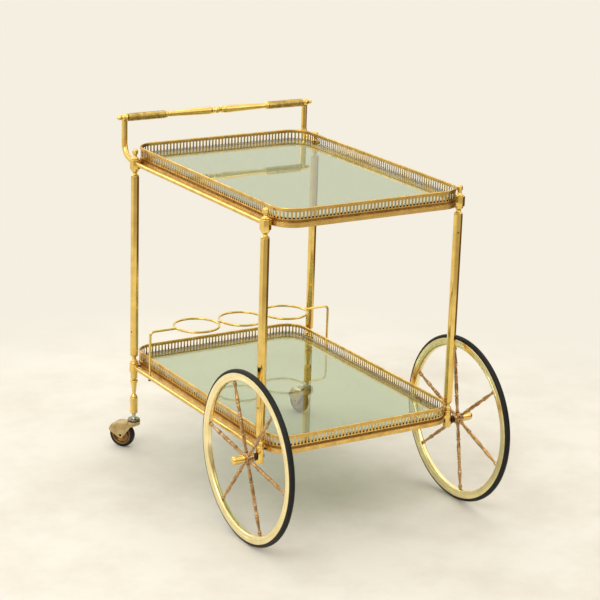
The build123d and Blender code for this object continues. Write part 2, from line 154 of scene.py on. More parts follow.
def turned(name, points, sides=32, ring=False, angle=35):
    # A lathe-turned piece: a circle pulled up and scaled from station to station
    path = curved(points)
    radius, height = path[0]
    deselect()
    bpy.ops.mesh.primitive_circle_add(vertices=sides, radius=mm(radius), location=(0, 0, mm(height)),
                                      fill_type="NOTHING" if ring else "NGON")
    piece = settle(bpy.context.object)
    piece.name = name
    bpy.ops.object.mode_set(mode="EDIT")
    bpy.ops.mesh.select_all(action="SELECT")
    for (lastRadius, lastHeight), (radius, height) in zip(path, path[1:]):
        pull = {"value": (0, 0, mm(height - lastHeight))}
        bpy.ops.mesh.extrude_region_move(TRANSFORM_OT_translate=pull)
        grow = radius / lastRadius
        bpy.ops.transform.resize(value=(grow, grow, 1), center_override=(0, 0, mm(height)))
    return soften(closeUp(piece), angle)


def octagonBar(name, sizes, edgeSteps=3, edgeAngle=30):
    # An upright bar of eight flats with bevelled edges
    low, high = sizes["low"], sizes["high"]
    deselect()
    bpy.ops.mesh.primitive_cylinder_add(vertices=8, radius=mm(sizes["flats"] / 2 / cos(pi / 8)),
                                        depth=mm(high - low), location=(0, 0, mm((low + high) / 2)))
    piece = settle(bpy.context.object)
    piece.name = name
    bevel = piece.modifiers.new("edge", "BEVEL")
    bevel.width = mm(sizes["edge"])
    bevel.segments = edgeSteps
    bevel.limit_method = "ANGLE"
    bevel.angle_limit = radians(edgeAngle)
    return soften(applyAll(piece))


def wire(name, route, radius):
    # A bent rod through a list of places, as a curve with a round section made into a mesh
    line = bpy.data.curves.new(name, "CURVE")
    line.dimensions = "3D"
    line.bevel_depth = mm(radius)
    line.bevel_resolution = 3
    line.use_fill_caps = True
    run = line.splines.new("POLY")
    run.points.add(len(route) - 1)
    for point, spot in zip(run.points, route):
        point.co = (*[mm(value) for value in spot], 1)
    piece = bpy.data.objects.new(name, line)
    bpy.context.collection.objects.link(piece)
    choose(piece)
    bpy.ops.object.convert(target="MESH")
    return soften(closeUp(bpy.context.object), 60)


# Materials

def hexColour(code, alpha=1.0):
    values = [int(code[spot:spot + 2], 16) / 255 for spot in (1, 3, 5)]
    linear = [value / 12.92 if value <= 0.04045 else ((value + 0.055) / 1.055) ** 2.4 for value in values]
    return linear + [alpha]


def addNode(tree, kind, settings=(), **links):
    # links: input name or i and its number -> (node, output name) or a plain value;
    # underscores stand for spaces
    node = tree.nodes.new(kind)
    for key, value in dict(settings).items():
        setattr(node, key, value)
    for key, value in links.items():
        number = key[1:] if key[0] == "i" else ""
        socket = node.inputs[int(number) if number.isdigit() else key.replace("_", " ")]
        if isinstance(value, tuple) and hasattr(value[0], "outputs"):
            tree.links.new(value[0].outputs[value[1]], socket)
        else:
            socket.default_value = value
    return node


def newMaterial(name):
    material = bpy.data.materials.new(name)
    material.use_nodes = True
    tree = material.node_tree
    tree.nodes.clear()
    shader = addNode(tree, "ShaderNodeBsdfPrincipled")
    output = addNode(tree, "ShaderNodeOutputMaterial")
    tree.links.new(shader.outputs["BSDF"], output.inputs["Surface"])
    where = addNode(tree, "ShaderNodeTexCoord")
    return material, tree, shader, (where, "Object")


def noise(tree, where, patch, detail, **more):  # cloudy noise with patches of a size in mm
    return addNode(tree, "ShaderNodeTexNoise", Vector=where, Scale=1000 / patch, Detail=detail, **more)


mixed = {"data_type": "RGBA"}  # a Mix node for colours: i0 share, i6 and i7 colours, output 2
smooth = {"interpolation_type": "SMOOTHSTEP"}
# Painted shade: corners and grooves darkened towards a dark brown, up to reach from them
cornerShade = {"reach": 3.0, "deep": 0.3, "open": 0.85, "cover": 0.85, "colour": "#3E2A10"}
# Where in its noise the tarnish starts and is full, how it changes the gloss, and the polishing grain
wear = {"start": 0.38, "full": 0.72, "glossStart": 0.3, "glossFull": 0.75, "bright": 0.75, "dull": 1.6,
        "grain": 0.9, "grainDepth": 0.05, "grainStrength": 0.1}


def metal(name, bright, worn, rough, tarnish, patchSize, lacquer=0.0, ownCorners=False):
    # Cloudy tarnish in patches of patchSize over the bright metal, and painted shade in corners and
    # grooves.
    #     # ownCorners: the painted shade only in the piece's own corners, not where glass or another piece
    #     lies on it
    material, tree, shader, place3d = newMaterial(name)
    cloud = noise(tree, place3d, patchSize, 4.0, Roughness=0.55)
    cover = addNode(tree, "ShaderNodeMapRange", Value=(cloud, "Fac"), From_Min=wear["start"],
                    From_Max=wear["full"], To_Min=0.0, To_Max=tarnish)
    tarnished = addNode(tree, "ShaderNodeMix", mixed, i0=(cover, "Result"), i6=hexColour(bright),
                        i7=hexColour(worn))
    # painted shade: ambient occlusion darkens corners and grooves towards a dark brown
    corner = addNode(tree, "ShaderNodeAmbientOcclusion", {"samples": 4, "only_local": ownCorners},
                     Distance=mm(cornerShade["reach"]))
    shadeShare = addNode(tree, "ShaderNodeMapRange", Value=(corner, "AO"), From_Min=cornerShade["deep"],
                   From_Max=cornerShade["open"], To_Min=cornerShade["cover"], To_Max=0.0)
    colour = addNode(tree, "ShaderNodeMix", mixed, i0=(shadeShare, "Result"), i6=(tarnished, 2),
                     i7=hexColour(cornerShade["colour"]))
    grain = noise(tree, place3d, wear["grain"], 3.0, Roughness=0.6)
    smear = addNode(tree, "ShaderNodeMapRange", Value=(cloud, "Fac"), From_Min=wear["glossStart"],
                    From_Max=wear["glossFull"], To_Min=rough * wear["bright"], To_Max=rough * wear["dull"])
    bump = addNode(tree, "ShaderNodeBump", Height=(grain, "Fac"), Strength=wear["grainStrength"],
                   Distance=mm(wear["grainDepth"]))
    tree.links.new(colour.outputs[2], shader.inputs["Base Color"])
    tree.links.new(smear.outputs["Result"], shader.inputs["Roughness"])
    tree.links.new(bump.outputs["Normal"], shader.inputs["Normal"])
    shader.inputs["Metallic"].default_value = 1.0
    shader.inputs["Coat Weight"].default_value = lacquer
    shader.inputs["Coat Roughness"].default_value = 0.06
    return material


# Polished brass under old lacquer: warm yellow, cloudy where the lacquer has thinned
polishedBrass = metal("polishedBrass", "#F4D274", "#C39642", 0.11, tarnish=0.45, patchSize=22, lacquer=0.5)
# The side rails' brass: satin, rubbed by cloths and hands
railBrass = metal("railBrass", "#E9C66C", "#B88C41", 0.22, tarnish=0.5, patchSize=18, lacquer=0.2)
# Brushed brass of the trays' bands and galleries: rosier and duller than the turned pieces
brushedBrass = metal("brushedBrass", "#E3BD6E", "#AF8941", 0.26, tarnish=0.5, patchSize=16, ownCorners=True)
# Brass over the bands and under the glass: darker and browner than the bands, and duller
dullBrass = metal("dullBrass", "#9C7035", "#5E421B", 0.42, tarnish=0.7, patchSize=7, ownCorners=True)
# Brass of the wheels' rims: paler than real brass, a painted bright reflection, and duller
rimBrass = metal("rimBrass", "#FFF1BA", "#E6C984", 0.18, tarnish=0.45, patchSize=26, lacquer=0.4)
# Turned brass spokes and hubs, bronze brown under their lacquer
spokeBrass = metal("spokeBrass", "#CDA267", "#5B4122", 0.08, tarnish=0.75, patchSize=12, lacquer=0.8)
# Knurled brass: dull olive gold, with painted shade in the grooves
knurledBrass = metal("knurledBrass", "#CDAF62", "#93762F", 0.36, tarnish=0.7, patchSize=9, lacquer=0.2)
# Pressed casters in antique brass plate: pale, cloudy brown in patches, with painted shade in the hollows
antiqueBrass = metal("antiqueBrass", "#C8B07D", "#7A6238", 0.13, tarnish=0.6, patchSize=13, lacquer=0.5)
# The casters' pressed discs: the same plate, painted darker brown as the shade in the dished disc between
# the fork's plates
shadedDiscPlate = metal("shadedDiscPlate", "#96703F", "#4E361B", 0.24, tarnish=0.8, patchSize=5, lacquer=0.2)
# Zinc plate on the caster stems: grey, slightly cloudy
zincPlate = metal("zincPlate", "#C2C6C2", "#7D7F78", 0.2, tarnish=0.6, patchSize=6)
# The casters' upper cups: dark aged plate
cupPlate = metal("cupPlate", "#989072", "#403A2A", 0.2, tarnish=0.8, patchSize=7, lacquer=0.3)
# Blackened steel of axles, rods, pins, nuts and screws
blackSteel = metal("blackSteel", "#4A4238", "#1C1814", 0.42, tarnish=0.9, patchSize=5)

# Black rubber with a grey bloom of dust, faintly pebbled
rubber = {"black": "#090A0C", "bloom": "#222326", "bloomPatch": 22, "pebble": 1.2, "pebbleDepth": 0.08}
tyreRubber, rubberTree, rubberShader, rubberPlace = newMaterial("tyreRubber")
dust = noise(rubberTree, rubberPlace, rubber["bloomPatch"], 5.0, Roughness=0.7)
bloom = addNode(rubberTree, "ShaderNodeMapRange", Value=(dust, "Fac"), From_Min=0.4, From_Max=0.75,
                To_Min=0.0, To_Max=0.5)
dusty = addNode(rubberTree, "ShaderNodeMix", mixed, i0=(bloom, "Result"), i6=hexColour(rubber["black"]),
                i7=hexColour(rubber["bloom"]))
pebble = noise(rubberTree, rubberPlace, rubber["pebble"], 2.0)
pebbled = addNode(rubberTree, "ShaderNodeBump", Height=(pebble, "Fac"), Strength=0.25,
                  Distance=mm(rubber["pebbleDepth"]))
rubberTree.links.new(dusty.outputs[2], rubberShader.inputs["Base Color"])
rubberTree.links.new(pebbled.outputs["Normal"], rubberShader.inputs["Normal"])
rubberShader.inputs["Roughness"].default_value = 0.55
rubberShader.inputs["Specular IOR Level"].default_value = 0.3
rubberShader.inputs["IOR"].default_value = 1.52

# Float glass: clear and sharp with a green cast
floatGlass, _, glassShader, _ = newMaterial("floatGlass")
glassShader.inputs["Base Color"].default_value = hexColour("#BCCBB0")
glassShader.inputs["Roughness"].default_value = 0.0
glassShader.inputs["IOR"].default_value = 1.52
glassShader.inputs["Transmission Weight"].default_value = 1.0

made = []


def dress(piece, material, body, slotName, *nodes):
    piece.data.materials.clear()
    piece.data.materials.append(material)
    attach(piece, body)
    if nodes:
        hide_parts(*nodes)
    made.append(piece.name)
    return piece


def repaint(material, *nodes):
    for node in nodes:
        mesh = frame["nodes"][node].data
        mesh.materials.clear()
        mesh.materials.append(material)


sides = {"left": -1, "right": 1}
ends = ("front", "rear")
trayMiddle = middle("upper_glass")
trayY = trayMiddle.y * 1000

# Camera, at the photograph's angle and distance, in degrees and metres
view = {"azimuth": -31.58, "elevation": 16.93, "roll": 1.81, "distance": 3.753, "lens": 113.91,
        "aimHeight": 0.380, "aimRight": 0.0220, "aimUp": -0.0119, "sensor": 36, "clipEnd": 200}
azimuth, elevation, roll = (radians(view[key]) for key in ("azimuth", "elevation", "roll"))
back = Vector((sin(azimuth) * cos(elevation), -cos(azimuth) * cos(elevation), sin(elevation)))
right = Vector((cos(azimuth), sin(azimuth), 0))
up = back.cross(right)
tiltedRight = right * cos(roll) + up * sin(roll)
tiltedUp = up * cos(roll) - right * sin(roll)
aim = Vector((0, trayMiddle.y, view["aimHeight"])) + right * view["aimRight"] + up * view["aimUp"]
camera = bpy.data.objects.new("camera", bpy.data.cameras.new("camera"))
bpy.context.collection.objects.link(camera)
turnMatrix = Matrix((tiltedRight, tiltedUp, back)).transposed().to_4x4()
camera.matrix_world = Matrix.Translation(aim + back * view["distance"]) @ turnMatrix
camera.data.lens = view["lens"]
camera.data.sensor_width = view["sensor"]
camera.data.clip_end = view["clipEnd"]
bpy.context.scene.camera = camera

# Posts
post = {"flats": 16.3, "low": 206.0, "high": 582.0, "edge": 0.7}
postMaster = octagonBar("postMaster", post)
for end in ends:
    for side in sides:
        node = f"{end}_{side}_post"
        spot = middle(node)
        piece = place(copyOf(postMaster, f"{end}{side.title()}Post"), (spot.x, spot.y, 0))
        dress(piece, polishedBrass, "frame", "brass", node)
discard(postMaster)

# Top blocks, their necks and finials
topBlock = {"flats": 21.0, "low": 597.5, "high": 617.0, "edge": 0.9}
topNeck = [(7.4, 582.0), (7.9, 582.4), (7.9, 583.8, 0.2), (7.3, 584.4), (4.5, 587.6, -0.5), (4.5, 588.4),
           (6.6, 591.9, -0.3), (6.6, 592.3), (8.2, 593.6, 0.3), (9.6, 597.6)]
finial = [(7.5, 617.0), (7.8, 617.3), (7.8, 618.4), (7.0, 619.0), (3.9, 623.4, -0.7), (3.7, 624.2),
          (3.7, 625.4), (4.2, 626.2), (4.2, 627.0), (5.6, 628.4, 0.2), (6.0, 629.6), (6.0, 633.4),
          (5.5, 635.0, 0.15), (4.0, 636.8, 0.2), (2.0, 637.7), (0.3, 638.0)]
blockMaster = joinAll([octagonBar("blockMaster", topBlock), turned("neckMaster", topNeck)], "blockMaster")
finialMaster = turned("finialMaster", finial)
for end in ends:
    for side in sides:
        spot = middle(f"{end}_{side}_post")
        piece = place(copyOf(blockMaster, f"{end}{side.title()}TopBlock"), (spot.x, spot.y, 0))
        dress(piece, polishedBrass, "frame", "brass", f"{end}_{side}_top_block")
        piece = place(copyOf(finialMaster, f"{end}{side.title()}Finial"), (spot.x, spot.y, 0))
        dress(piece, polishedBrass, "frame", "brass", "finials")
discard(blockMaster, finialMaster)

# Axle blocks below the front posts
axleBlock = {"flats": 15.0, "low": 152.5, "high": 186.0, "edge": 0.9}
lowNeck = [(4.1, 198.6, -0.2), (5.2, 201.4, -0.3), (7.6, 203.6), (8.0, 204.6), (8.0, 205.6), (7.4, 206.0)]
axleNeck = [(7.2, 185.0), (7.2, 186.0), (6.5, 189.6, -0.3), (6.5, 190.0), (7.1, 191.2), (7.1, 193.4, 0.3),
            (4.3, 195.4)] + lowNeck
blockMaster = joinAll([octagonBar("blockMaster", axleBlock), turned("neckMaster", axleNeck)], "blockMaster")
for side in sides:
    spot = middle(f"front_{side}_post")
    piece = place(copyOf(blockMaster, f"{side}AxleBlock"), (spot.x, spot.y, 0))
    dress(piece, polishedBrass, "frame", "brass", f"{side}_axle_block")
discard(blockMaster)

# Turned feet below the rear posts
foot = {"flats": 19.0, "low": 168.0, "high": 186.0, "edge": 1.6}
footNeck = [(7.8, 185.0), (7.8, 186.0), (7.8, 189.0, 0.4), (7.2, 191.2), (7.4, 193.0, 0.2),
            (4.4, 195.2)] + lowNeck
footStem = [(7.4, 78.0), (8.1, 78.8), (8.1, 109.0), (7.6, 112.0, 0.3), (3.8, 119.6, 0.6), (3.6, 120.4),
            (3.6, 121.6), (6.7, 144.0), (7.6, 145.2), (8.0, 150.4, 0.4), (5.0, 151.8), (5.0, 153.6),
            (7.3, 154.8), (7.3, 156.4), (6.9, 157.0), (7.3, 157.6), (7.3, 165.6), (7.9, 168.2)]
footMaster = joinAll([octagonBar("footMaster", foot), turned("neckMaster", footNeck),
                      turned("stemMaster", footStem)], "footMaster")
for side in sides:
    spot = middle(f"rear_{side}_post")
    piece = place(copyOf(footMaster, f"{side}Foot"), (spot.x, spot.y, 0))
    dress(piece, polishedBrass, "frame", "brass", f"{side}_foot")
discard(footMaster)

# Small dark screws sunk into the posts' facets: post, height and the way that the facet faces
postScrew = {"profile": [(1.8, -0.5), (1.8, 0.03), (1.6, 0.12), (0.9, 0.06), (0.3, -0.2)],
             "spots": [("front_left", 262.0, -157.5), ("front_right", 546.5, -112.5),
                       ("front_right", 527.0, -67.5), ("rear_left", 256.0, -157.5)]}
screwMaster = turned("screwMaster", postScrew["profile"], sides=20)
for number, (corner, level, facing) in enumerate(postScrew["spots"], 1):
    axisSpot = middle(f"{corner}_post")
    outward = Vector((cos(radians(facing)), sin(radians(facing)), 0))
    spot = Vector((axisSpot.x, axisSpot.y, mm(level))) + outward * mm(post["flats"] / 2)
    screw = place(copyOf(screwMaster, f"postScrew{number}"), spot, outward)
    dress(screw, blackSteel, "frame", "dark_steel")
discard(screwMaster)
print("posts, blocks and feet done")

# Trays: a band with an inner ledge, a pierced wall that stands on it, and a moulded top rail
tray = {"halfX": 199.5, "halfY": 298.0, "corner": 45.0, "levels": {"upper": 605.5, "lower": 176.5},
        "wallInset": 2.2, "wall": 0.7, "wallLow": 12.0, "wallHigh": 31.0, "slotPitch": 7.5,
        "slotWidth": 4.5, "slotLow": 13.6, "slotHigh": 27.4, "slotSides": 12, "cutterDepth": 6,
        "grooveLow": 7.7, "grooveHigh": 11.95, "pathSteps": 10, "measureSteps": 64}
railSection = [(-1.5, 29.6), (-1.3, 29.3), (-0.5, 29.3), (0.5, 29.3), (1.3, 29.3), (1.5, 29.6),
               (1.6, 31.4), (1.5, 32.9), (1.1, 33.6), (0.5, 33.95), (-0.5, 33.95), (-1.1, 33.6),
               (-1.5, 32.9), (-1.6, 31.4)]
# The ledge stays 0.12 below the glass, so that the two faces don't fight
bandSection = [(0.4, -1.4), (0.05, -1.1), (0.0, 1.2), (0.3, 1.6), (0.0, 2.0), (0.0, 4.8), (0.3, 5.2),
               (0.0, 5.6), (0.0, 7.0), (0.25, 7.6), (0.8, 7.9), (1.2, 8.8), (1.85, 11.9), (2.4, 12.0),
               (2.6, 12.0), (2.9, 11.88), (13.0, 11.88), (13.0, 10.8), (3.0, 10.8), (1.6, 6.6),
               (1.6, -1.4)]
cornerPull = 0.5523  # handle length that makes a quarter circle, as a share of its radius


def roundedPath(name, inset, height):
    # Rounded rectangle round the tray, as a closed Bezier line
    halfX, halfY, corner = tray["halfX"] - inset, tray["halfY"] - inset, tray["corner"] - inset
    line = bpy.data.curves.new(name, "CURVE")
    line.dimensions = "3D"
    line.resolution_u = tray["pathSteps"]
    run = line.splines.new("BEZIER")
    run.bezier_points.add(7)
    spots = []
    for signX, signY in ((1, 1), (-1, 1), (-1, -1), (1, -1)):
        alongX = ((signX * (halfX - corner), signY * halfY), (1, 0))
        alongY = ((signX * halfX, signY * (halfY - corner)), (0, 1))
        spots += [alongY, alongX] if signX * signY > 0 else [alongX, alongY]
    reach = corner * cornerPull
    for number, (point, (spot, way)) in enumerate(zip(run.bezier_points, spots)):
        step = [reach * direction * (1 if value > 0 else -1) for value, direction in zip(spot, way)]
        bend = (spot[0] + step[0], spot[1] + step[1])
        straight = (spot[0] - step[0], spot[1] - step[1])
        before, after = (straight, bend) if number % 2 == 0 else (bend, straight)
        point.co = (mm(spot[0]), mm(trayY + spot[1]), mm(height))
        point.handle_left = (mm(before[0]), mm(trayY + before[1]), mm(height))
        point.handle_right = (mm(after[0]), mm(trayY + after[1]), mm(height))
    run.use_cyclic_u = True
    path = bpy.data.objects.new(name, line)
    bpy.context.collection.objects.link(path)
    return path


def aroundTray(name, section, inset, height):
    # A strip of constant section round the tray: section points are (inward, up) from the path
    profile = bpy.data.curves.new(f"{name}Section", "CURVE")
    profile.dimensions = "2D"
    run = profile.splines.new("POLY")
    run.points.add(len(section) - 1)
    for point, (inward, rise) in zip(run.points, section):
        point.co = (-mm(inward), mm(rise), 0, 1)
    run.use_cyclic_u = True
    outline = bpy.data.objects.new(f"{name}Section", profile)
    bpy.context.collection.objects.link(outline)
    strip = roundedPath(name, inset, height)
    strip.data.twist_mode = "Z_UP"
    strip.data.bevel_mode = "OBJECT"
    strip.data.bevel_object = outline
    choose(strip)
    bpy.ops.object.convert(target="MESH")
    strip = bpy.context.object
    discard(outline)
    return soften(closeUp(strip), 30)


def slotCell(length):
    # One slot's share of the gallery: a strip of wall with a round-ended hole, its ends left open
    high = tray["wallHigh"] - tray["wallLow"]
    deselect()
    bpy.ops.mesh.primitive_cube_add(size=1, location=(length / 2, 0, mm(tray["wallLow"] + high / 2)),
                                    scale=(length, mm(tray["wall"]), mm(high)))
    cell = settle(bpy.context.object)
    cell.name = "slotCell"
    radius = tray["slotWidth"] / 2
    level = mm((tray["slotLow"] + tray["slotHigh"]) / 2)
    stretch = mm((tray["slotHigh"] - tray["slotLow"]) / 2 - radius)
    bpy.ops.mesh.primitive_cylinder_add(vertices=tray["slotSides"], radius=mm(radius),
                                        depth=mm(tray["cutterDepth"]), rotation=(pi / 2, 0, 0),
                                        location=(length / 2, 0, level))
    cutter = settle(bpy.context.object)
    pick(cutter, lambda spot: spot.z > level)
    bpy.ops.object.mode_set(mode="EDIT")
    bpy.ops.transform.translate(value=(0, 0, 2 * stretch))
    bpy.ops.mesh.select_all(action="SELECT")
    bpy.ops.transform.translate(value=(0, 0, -stretch))
    bpy.ops.object.mode_set(mode="OBJECT")
    cut = cell.modifiers.new("slot", "BOOLEAN")
    cut.object = cutter
    cut.solver = "EXACT"
    applyAll(cell)
    discard(cutter)
    for face in cell.data.polygons:
        atEnd = face.center.x < mm(0.001) or face.center.x > length - mm(0.001)
        face.select = abs(face.normal.x) > 0.99 and atEnd
    bpy.ops.object.mode_set(mode="EDIT")
    bpy.ops.mesh.select_mode(type="FACE")
    bpy.ops.mesh.delete(type="FACE")
    bpy.ops.object.mode_set(mode="OBJECT")
    return cell


for level, height in tray["levels"].items():
    path = roundedPath("galleryPath", tray["wallInset"], height)
    around = path.data.splines[0].calc_length(resolution=tray["measureSteps"])
    count = round(around / mm(tray["slotPitch"]))
    wall = slotCell(around / count)
    rows = wall.modifiers.new("slots", "ARRAY")
    rows.count = count
    rows.use_merge_vertices = True
    rows.merge_threshold = 1e-6
    rows.use_merge_vertices_cap = False
    bend = wall.modifiers.new("bend", "CURVE")
    bend.object = path
    bend.deform_axis = "POS_X"
    closeUp(applyAll(wall), 0.02)
    discard(path)
    rail = aroundTray("galleryRail", railSection, tray["wallInset"], height)
    gallery = settle(joinAll([soften(wall, 30), rail], f"{level}Gallery"))
    dress(gallery, brushedBrass, "frame", "brass", f"{level}_gallery")
    band = settle(aroundTray(f"{level}TrayFrame", bandSection, 0, height))
    dress(band, brushedBrass, "frame", "brass", f"{level}_tray_frame")
    band.data.materials.append(dullBrass)
    for face in band.data.polygons:
        if tray["grooveLow"] < face.center.z * 1000 - height < tray["grooveHigh"]:
            face.material_index = 1
    print(level, "gallery:", count, "slots,", len(gallery.data.polygons), "faces")

# Push bar: spindle, grips, ball collars and end buttons, all turned along X
bar = {"gripNear": 121.0, "gripFar": 203.5, "gripRadius": 7.85, "gripEnd": 6.9, "gripChamfer": 0.7,
       "knurlInset": 1.5, "knurlSides": 44, "knurlRow": 1.02, "knurlRise": 0.25}
halfSpindle = curved([(7.3, 0.0), (7.2, 1.6), (6.7, 3.2), (5.7, 4.8), (4.6, 6.0), (4.2, 6.8), (4.2, 8.0),
                      (6.4, 8.8), (7.0, 9.4), (7.0, 11.2), (6.2, 12.0), (5.8, 12.6), (6.6, 13.6),
                      (7.6, 16.0), (7.9, 19.0), (7.9, 23.0), (7.7, 31.0), (7.3, 50.0), (6.6, 75.0),
                      (5.9, 98.0), (5.7, 112.0), (5.7, 115.0), (6.0, 115.8), (7.4, 116.6),
                      (7.5, 120.4, 0.3), (6.8, 121.0)])
farHalf = [(radius, -reach) for radius, reach in reversed(halfSpindle)]
collarSection = [(5.2, -6.9), (6.0, -6.6), (7.4, -4.0, 0.15), (7.9, 0.0, 0.1), (7.4, 4.0, 0.1),
                 (6.0, 6.6, 0.15), (5.2, 6.9)]
buttonSection = [(3.9, 218.0), (3.9, 218.8), (2.9, 219.4), (2.9, 220.0), (4.3, 220.8), (4.5, 224.4, 0.25),
                 (3.6, 226.0), (2.2, 227.2), (0.4, 227.4)]
spindle = turned("handleSpindle", farHalf[:-1] + halfSpindle)
barMiddle = middle("handle_spindle")
place(spindle, barMiddle, (1, 0, 0))
dress(spindle, polishedBrass, "frame", "brass", "handle_spindle")

knurlNear = bar["gripNear"] + bar["knurlInset"]
knurlRows = round((bar["gripFar"] - bar["knurlInset"] - knurlNear) / bar["knurlRow"])
gripRadius, gripChamfer = bar["gripRadius"], bar["gripChamfer"]
gripStations = [(bar["gripEnd"], bar["gripNear"]), (gripRadius, bar["gripNear"] + gripChamfer)]
gripStations += [(gripRadius, knurlNear + row * bar["knurlRow"]) for row in range(knurlRows + 1)]
gripStations += [(gripRadius, bar["gripFar"] - gripChamfer), (bar["gripEnd"], bar["gripFar"])]
gripMaster = turned("gripMaster", gripStations, sides=bar["knurlSides"], angle=80)


def knurlPoint(spot):  # every second point of the grip, like a chessboard
    row = (spot.z * 1000 - knurlNear) / bar["knurlRow"]
    column = round(degrees(atan2(spot.y, spot.x)) / (360 / bar["knurlSides"]))
    return -0.1 < row < knurlRows + 0.1 and (round(row) + column) % 2 == 0


pick(gripMaster, knurlPoint)
choose(gripMaster)
bpy.ops.object.mode_set(mode="EDIT")
bpy.ops.mesh.select_mode(type="VERT")
rise = 1 + bar["knurlRise"] / gripRadius
bpy.ops.transform.resize(value=(rise, rise, 1), center_override=(0, 0, 0))
bpy.ops.object.mode_set(mode="OBJECT")
collarMaster = turned("collarMaster", collarSection)
buttonMaster = turned("buttonMaster", buttonSection)
for side, sign in sides.items():
    grip = place(copyOf(gripMaster, f"{side}Grip"), barMiddle, (sign, 0, 0))
    dress(grip, knurledBrass, "frame", "brass", f"{side}_grip")
    collarSpot = (middle(f"{side}_handle_upright").x, barMiddle.y, barMiddle.z)
    collar = place(copyOf(collarMaster, f"{side}Collar"), collarSpot, (sign, 0, 0))
    dress(collar, polishedBrass, "frame", "brass", f"{side}_handle_collar")
    button = place(copyOf(buttonMaster, f"{side}Button"), barMiddle, (sign, 0, 0))
    dress(button, polishedBrass, "frame", "brass", "handle_end_buttons")
discard(gripMaster, collarMaster, buttonMaster)
print("push bar done")

# Pieces that keep their solid and get a finish
repaint(polishedBrass, "left_handle_upright", "right_handle_upright")
repaint(railBrass, "upper_left_rail", "upper_right_rail", "lower_left_rail", "lower_right_rail")
repaint(floatGlass, "upper_glass", "lower_glass")
repaint(blackSteel, "tie_rods", "tray_screws", "rack_nuts")
repaint(antiqueBrass, "left_caster_fork", "right_caster_fork")

# Bottle rack: rings, links and bent arms
rack = {"ring": 46.5, "wire": 2.5, "spacing": 105.0, "bend": 9.0, "bendSteps": 8, "legTop": 182.0,
        "linkSeat": 0.5, "armSeat": 1.5}
rackSpot = middle("middle_bottle_ring") * 1000
for name, x in (("left", -rack["spacing"]), ("middle", 0), ("right", rack["spacing"])):
    deselect()
    bpy.ops.mesh.primitive_torus_add(major_segments=72, minor_segments=12, major_radius=mm(rack["ring"]),
                                     minor_radius=mm(rack["wire"]),
                                     location=(mm(x), mm(rackSpot.y), mm(rackSpot.z)))
    ring = soften(settle(bpy.context.object), 60)
    if name == "middle":
        links = []
        for sign in sides.values():
            near = sign * (rack["ring"] + rack["linkSeat"])
            far = sign * (rack["spacing"] - rack["ring"] - rack["linkSeat"])
            route = [(reach, rackSpot.y, rackSpot.z) for reach in (near, far)]
            links.append(wire("link", route, rack["wire"]))
        ring = joinAll([ring, *links], "middleBottleRing")
    ring.name = f"{name}BottleRing"
    dress(ring, polishedBrass, "frame", "brass", f"{name}_bottle_ring")
for side, sign in sides.items():
    legX = middle(f"lower_{side}_rail").x * 1000
    route = [(legX, rackSpot.y, rack["legTop"])]
    for step in range(rack["bendSteps"] + 1):
        angle = pi / 2 * step / rack["bendSteps"]
        route.append((legX - sign * rack["bend"] * (1 - cos(angle)), rackSpot.y,
                      rackSpot.z - rack["bend"] * (1 - sin(angle))))
    route.append((sign * (rack["spacing"] + rack["ring"] + rack["armSeat"]), rackSpot.y, rackSpot.z))
    arm = wire(f"{side}RackArm", route, rack["wire"])
    dress(arm, polishedBrass, "frame", "brass", f"{side}_rack_arm")
print("bottle rack done")

# Large wheels. Sections are (radius, along the axle), spokes (radius, from the hub's middle)
wheel = {"spokes": 6, "firstSpoke": {"left": 22.0, "right": 9.0}}
halfRim = [(144.0, 2.6), (144.5, 4.2), (145.6, 5.4), (147.2, 6.0), (151.0, 5.9), (151.3, 5.6),
           (151.7, 5.6), (152.0, 5.9), (158.6, 6.0), (159.3, 5.8), (159.5, 5.4), (159.5, 5.0),
           (156.5, 5.0)]
halfTyre = [(165.8, 1.7), (164.9, 2.3), (165.5, 2.7), (164.9, 3.6), (163.6, 4.6), (162.0, 5.0),
            (160.4, 5.0), (156.5, 4.9)]
hubSection = [(7.5, -11.5), (7.7, -11.2), (7.7, -8.4), (7.2, -8.0), (7.2, -7.4), (7.8, -6.8), (8.2, -5.8),
              (10.6, -5.3), (11.3, -4.6), (11.4, 0, 0.1), (11.3, 4.6, 0.1), (10.6, 5.3), (8.8, 5.7),
              (8.6, 6.2), (8.6, 7.4), (8.2, 8.0)]
capSection = [(7.6, 8.4), (8.2, 9.0), (8.2, 11.0), (7.7, 11.6), (7.7, 12.2), (8.2, 12.8), (8.3, 26.0),
              (8.0, 28.2), (7.2, 30.2), (5.6, 31.8), (3.4, 32.7), (0.4, 33.0)]
axleSection = [(4.0, 202.5), (4.0, 218.5), (6.8, 218.5), (6.8, 224.2), (6.3, 225.1), (4.0, 225.1),
               (4.0, 264.0)]
spokeSection = [(2.5, 8.6), (2.5, 11.0), (3.4, 11.6), (3.6, 14.6, 0.4), (2.7, 15.4), (2.7, 16.2),
                (3.6, 18.0, 0.3), (2.6, 19.2), (2.6, 20.4), (3.4, 30.0), (3.6, 39.6), (2.7, 40.6),
                (2.7, 41.4), (3.5, 42.2), (3.5, 45.6, 0.9), (2.6, 46.4), (2.6, 47.4), (3.2, 48.4),
                (3.8, 58.0, 0.1), (3.3, 70.0, 0.2), (2.7, 71.0), (2.7, 71.8), (2.9, 75.2, 1.3),
                (2.6, 76.6), (2.9, 80.0, 1.3), (2.6, 81.4), (2.9, 84.8, 1.3), (2.6, 85.8), (3.3, 87.4),
                (3.2, 94.0, 0.1), (3.0, 100.6), (2.6, 101.4), (2.9, 102.4), (3.0, 105.8, 1.3),
                (2.8, 106.6), (4.0, 108.4), (3.8, 112.0, 0.1), (2.9, 123.0), (2.2, 132.8), (2.2, 133.8),
                (3.1, 135.2, 0.2), (3.5, 136.8), (3.5, 141.0, 0.3), (3.0, 142.4), (2.4, 144.4)]


def mirrored(half):  # the same points on the other side of the wheel's middle, in turn
    return [(radius, -reach) for radius, reach in reversed(half)]


